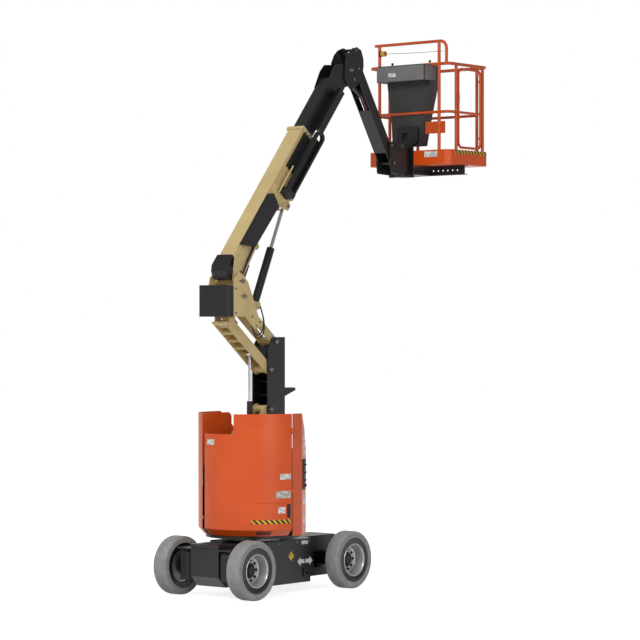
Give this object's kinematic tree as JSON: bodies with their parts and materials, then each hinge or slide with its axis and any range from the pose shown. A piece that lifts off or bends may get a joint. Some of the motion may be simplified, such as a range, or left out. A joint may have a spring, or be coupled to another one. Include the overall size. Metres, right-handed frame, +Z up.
{
  "type": "articulating boom lift",
  "caption": "Compact electric articulating boom lift with a two-stage tower, telescopic boom, jib and rotating platform, on solid tyres.",
  "frame": {"origin": "middle of the overall box, on the floor under the wheels", "axes": "+X is the way the boom points, +Y is the machine's left, +Z is up"},
  "size_m": [4.5475, 1.238, 6.243],
  "materials": {
    "orange_paint": "satin",
    "cream_paint": "satin",
    "black_paint": "semi-matt",
    "grey_tyre": "matt",
    "rim_steel": "satin silver",
    "chrome_rod": "polished",
    "steel": "machined",
    "grey_plastic": "moulded",
    "black_plastic": "moulded",
    "cast_black": "cast, painted black"
  },
  "bodies": {
    "chassis": {"chassis_frame": "black_paint", "tie_down_rear_left": "black_paint", "tie_down_rear_right": "black_paint", "tie_down_front_left": "black_paint", "tie_down_front_right": "black_paint", "swing_bearing": "steel", "rear_axle": "cast_black", "front_axle": "black_paint"},
    "steer_left": {"steer_knuckle_left": "cast_black"},
    "steer_right": {"steer_knuckle_right": "cast_black"},
    "tie_rod_body": {"tie_rod": "steel"},
    "wheel_front_left": {"tyre_front_left": "grey_tyre", "rim_front_left": "rim_steel"},
    "wheel_front_right": {"tyre_front_right": "grey_tyre", "rim_front_right": "rim_steel"},
    "wheel_rear_left": {"tyre_rear_left": "grey_tyre", "rim_rear_left": "rim_steel"},
    "wheel_rear_right": {"tyre_rear_right": "grey_tyre", "rim_rear_right": "rim_steel"},
    "turntable": {"turntable_base": "black_paint", "power_pack": "black_plastic", "side_panel_left": "orange_paint", "side_panel_right": "orange_paint"},
    "hood_right_body": {"hood_right": "orange_paint"},
    "hood_left_body": {"hood_left": "orange_paint"},
    "lower_arm_body": {"lower_arm": "cream_paint"},
    "lower_link_body": {"lower_link": "cream_paint"},
    "mid_upright_body": {"mid_upright": "black_paint"},
    "upper_arm_body": {"upper_arm": "cream_paint"},
    "upper_link_body": {"upper_link": "cream_paint"},
    "tower_cylinder_body": {"tower_cylinder": "black_paint"},
    "tower_rod_body": {"tower_rod": "chrome_rod"},
    "upright_body": {"upright": "cream_paint", "counterweight": "cast_black"},
    "base_boom_body": {"base_boom": "cream_paint", "boom_tail_cover": "black_plastic", "hose_carrier": "black_plastic"},
    "lift_cylinder_body": {"lift_cylinder": "black_paint"},
    "lift_rod_body": {"lift_rod": "chrome_rod"},
    "level_cylinder_body": {"level_cylinder": "black_paint"},
    "level_rod_body": {"level_rod": "chrome_rod"},
    "fly_boom_body": {"fly_boom": "black_paint"},
    "jib_knuckle_body": {"jib_knuckle": "black_paint"},
    "jib_arm_body": {"jib_arm": "black_paint"},
    "jib_link_body": {"jib_link": "black_paint"},
    "jib_cylinder_body": {"jib_cylinder": "black_paint"},
    "jib_rod_body": {"jib_rod": "chrome_rod"},
    "jib_head_body": {"jib_head": "black_paint"},
    "platform": {"platform_support": "black_paint", "platform_floor": "orange_paint", "platform_rails": "orange_paint", "control_console": "grey_plastic"},
    "gate_body": {"gate": "orange_paint"}
  },
  "joints": [
    {"name": "steer", "type": "hinge", "parent": "chassis", "child": "steer_left", "pos_m": [-0.30625, 0.372, 0.3175], "axis": [0, 0, 1], "range_deg": [-40, 40]},
    {"name": "steer_right_joint", "type": "hinge", "parent": "chassis", "child": "steer_right", "pos_m": [-0.30625, -0.372, 0.3175], "axis": [0, 0, 1], "range_deg": [-40, 40]},
    {"name": "tie_rod_slide", "type": "slide", "parent": "chassis", "child": "tie_rod_body", "axis": [0, 1, 0], "range_m": [-0.09904, 0.09904]},
    {"name": "roll_front_left", "type": "hinge", "parent": "steer_left", "child": "wheel_front_left", "pos_m": [-0.30625, 0.521, 0.3175], "axis": [0, 1, 0], "continuous": true},
    {"name": "roll_front_right", "type": "hinge", "parent": "steer_right", "child": "wheel_front_right", "pos_m": [-0.30625, -0.521, 0.3175], "axis": [0, 1, 0], "continuous": true},
    {"name": "roll_rear_left", "type": "hinge", "parent": "chassis", "child": "wheel_rear_left", "pos_m": [-1.95625, 0.521, 0.3175], "axis": [0, 1, 0], "continuous": true},
    {"name": "roll_rear_right", "type": "hinge", "parent": "chassis", "child": "wheel_rear_right", "pos_m": [-1.95625, -0.521, 0.3175], "axis": [0, 1, 0], "continuous": true},
    {"name": "swing", "type": "hinge", "parent": "chassis", "child": "turntable", "pos_m": [-1.31625, 0, 0.59], "axis": [0, 0, 1], "range_deg": [-175, 175]},
    {"name": "hood_right_open", "type": "hinge", "parent": "turntable", "child": "hood_right_body", "pos_m": [-1.37125, -0.609, 1.31], "axis": [0, 0, 1], "range_deg": [0, 100]},
    {"name": "hood_left_open", "type": "hinge", "parent": "turntable", "child": "hood_left_body", "pos_m": [-1.37125, 0.609, 1.31], "axis": [0, 0, -1], "range_deg": [0, 100]},
    {"name": "tower_lift", "type": "hinge", "parent": "turntable", "child": "lower_arm_body", "pos_m": [-1.78385, 0, 1.50195], "axis": [0, -1, 0], "range_deg": [-47.4, 16.6]},
    {"name": "lower_link_joint", "type": "hinge", "parent": "turntable", "child": "lower_link_body", "pos_m": [-1.68985, 0, 1.19894], "axis": [0, -1, 0], "range_deg": [-47.4, 16.6]},
    {"name": "mid_upright_joint", "type": "hinge", "parent": "lower_arm_body", "child": "mid_upright_body", "pos_m": [-1.15925, 0, 1.997], "axis": [0, -1, 0], "range_deg": [-16.6, 47.4]},
    {"name": "upper_arm_joint", "type": "hinge", "parent": "mid_upright_body", "child": "upper_arm_body", "pos_m": [-1.15925, 0, 2.432], "axis": [0, -1, 0], "range_deg": [-16.6, 47.4]},
    {"name": "upper_link_joint", "type": "hinge", "parent": "mid_upright_body", "child": "upper_link_body", "pos_m": [-1.06525, 0, 2.735], "axis": [0, -1, 0], "range_deg": [-16.6, 47.4]},
    {"name": "upright_joint", "type": "hinge", "parent": "upper_arm_body", "child": "upright_body", "pos_m": [-1.78385, 0, 2.92706], "axis": [0, -1, 0], "range_deg": [-47.4, 16.6]},
    {"name": "tower_cylinder_joint", "type": "hinge", "parent": "mid_upright_body", "child": "tower_cylinder_body", "pos_m": [-1.37625, 0, 1.685], "axis": [0, -1, 0], "range_deg": [-3.37, 9.53]},
    {"name": "tower_rod_slide", "type": "slide", "parent": "tower_cylinder_body", "child": "tower_rod_body", "axis": [0, 0, 1], "range_m": [-0.21609, 0.07633]},
    {"name": "main_lift", "type": "hinge", "parent": "upright_body", "child": "base_boom_body", "pos_m": [-1.71725, 0, 3.391], "axis": [0, -1, 0], "range_deg": [-47, 21.3]},
    {"name": "lift_cylinder_joint", "type": "hinge", "parent": "upright_body", "child": "lift_cylinder_body", "pos_m": [-1.30625, 0, 3.13], "axis": [0, -1, 0], "range_deg": [-48.93, 22.2]},
    {"name": "lift_rod_slide", "type": "slide", "parent": "lift_cylinder_body", "child": "lift_rod_body", "axis": [0.411, 0, 0.9116], "range_m": [-0.37834, 0.17201]},
    {"name": "level_cylinder_joint", "type": "hinge", "parent": "upright_body", "child": "level_cylinder_body", "pos_m": [-1.58325, 0, 3.263], "axis": [0, -1, 0], "range_deg": [-46.58, 21.14]},
    {"name": "level_rod_slide", "type": "slide", "parent": "level_cylinder_body", "child": "level_rod_body", "axis": [0.4739, 0, 0.8806], "range_m": [-0.14045, 0.0642]},
    {"name": "telescope", "type": "slide", "parent": "base_boom_body", "child": "fly_boom_body", "axis": [0.6334, 0, 0.7738], "range_m": [-0.61, 0.78]},
    {"name": "knuckle_level", "type": "hinge", "parent": "fly_boom_body", "child": "jib_knuckle_body", "pos_m": [0.26523, 0, 5.81312], "axis": [0, -1, 0], "range_deg": [-21.3, 47]},
    {"name": "jib_lift", "type": "hinge", "parent": "jib_knuckle_body", "child": "jib_arm_body", "pos_m": [0.39875, 0, 5.84], "axis": [0, 1, 0], "range_deg": [-141.5, 2.5]},
    {"name": "jib_link_joint", "type": "hinge", "parent": "jib_knuckle_body", "child": "jib_link_body", "pos_m": [0.35375, 0, 6.048], "axis": [0, 1, 0], "range_deg": [-141.5, 2.5]},
    {"name": "jib_head_joint", "type": "hinge", "parent": "jib_arm_body", "child": "jib_head_body", "pos_m": [1.065, 0, 4.7942], "axis": [0, 1, 0], "range_deg": [-2.5, 141.5]},
    {"name": "jib_cylinder_joint", "type": "hinge", "parent": "jib_knuckle_body", "child": "jib_cylinder_body", "pos_m": [0.31875, 0, 5.713], "axis": [0, 1, 0], "range_deg": [-110.42, 2]},
    {"name": "jib_rod_slide", "type": "slide", "parent": "jib_cylinder_body", "child": "jib_rod_body", "axis": [0.84, 0, -0.5426], "range_m": [-0.00493, 0.22327]},
    {"name": "platform_rotate", "type": "hinge", "parent": "jib_head_body", "child": "platform", "pos_m": [1.34375, 0, 4.834], "axis": [0, 0, 1], "range_deg": [-90, 90]},
    {"name": "gate_open", "type": "hinge", "parent": "platform", "child": "gate_body", "pos_m": [2.12775, -0.5767, 5.4], "axis": [0, 0, -1], "range_deg": [0, 90]}
  ],
  "couplings": [
    {"joint": "steer_right_joint", "follows": "steer", "ratio": 1},
    {"joint": "tie_rod_slide", "follows": "steer", "m_per_rad": -0.139},
    {"joint": "lower_link_joint", "follows": "tower_lift", "ratio": 1},
    {"joint": "mid_upright_joint", "follows": "tower_lift", "ratio": -1},
    {"joint": "upper_arm_joint", "follows": "tower_lift", "ratio": -1},
    {"joint": "upper_link_joint", "follows": "tower_lift", "ratio": -1},
    {"joint": "upright_joint", "follows": "tower_lift", "ratio": 1},
    {"joint": "tower_cylinder_joint", "follows": "tower_lift", "ratio": -0.2},
    {"joint": "tower_rod_slide", "follows": "tower_lift", "m_per_rad": 0.26},
    {"joint": "lift_cylinder_joint", "follows": "main_lift", "ratio": 1.04},
    {"joint": "lift_rod_slide", "follows": "main_lift", "m_per_rad": 0.46},
    {"joint": "level_cylinder_joint", "follows": "main_lift", "ratio": 0.99},
    {"joint": "level_rod_slide", "follows": "main_lift", "m_per_rad": 0.17},
    {"joint": "knuckle_level", "follows": "main_lift", "ratio": -1},
    {"joint": "jib_link_joint", "follows": "jib_lift", "ratio": 1},
    {"joint": "jib_head_joint", "follows": "jib_lift", "ratio": -1},
    {"joint": "jib_cylinder_joint", "follows": "jib_lift", "ratio": 0.78},
    {"joint": "jib_rod_slide", "follows": "jib_lift", "m_per_rad": -0.09}
  ]
}
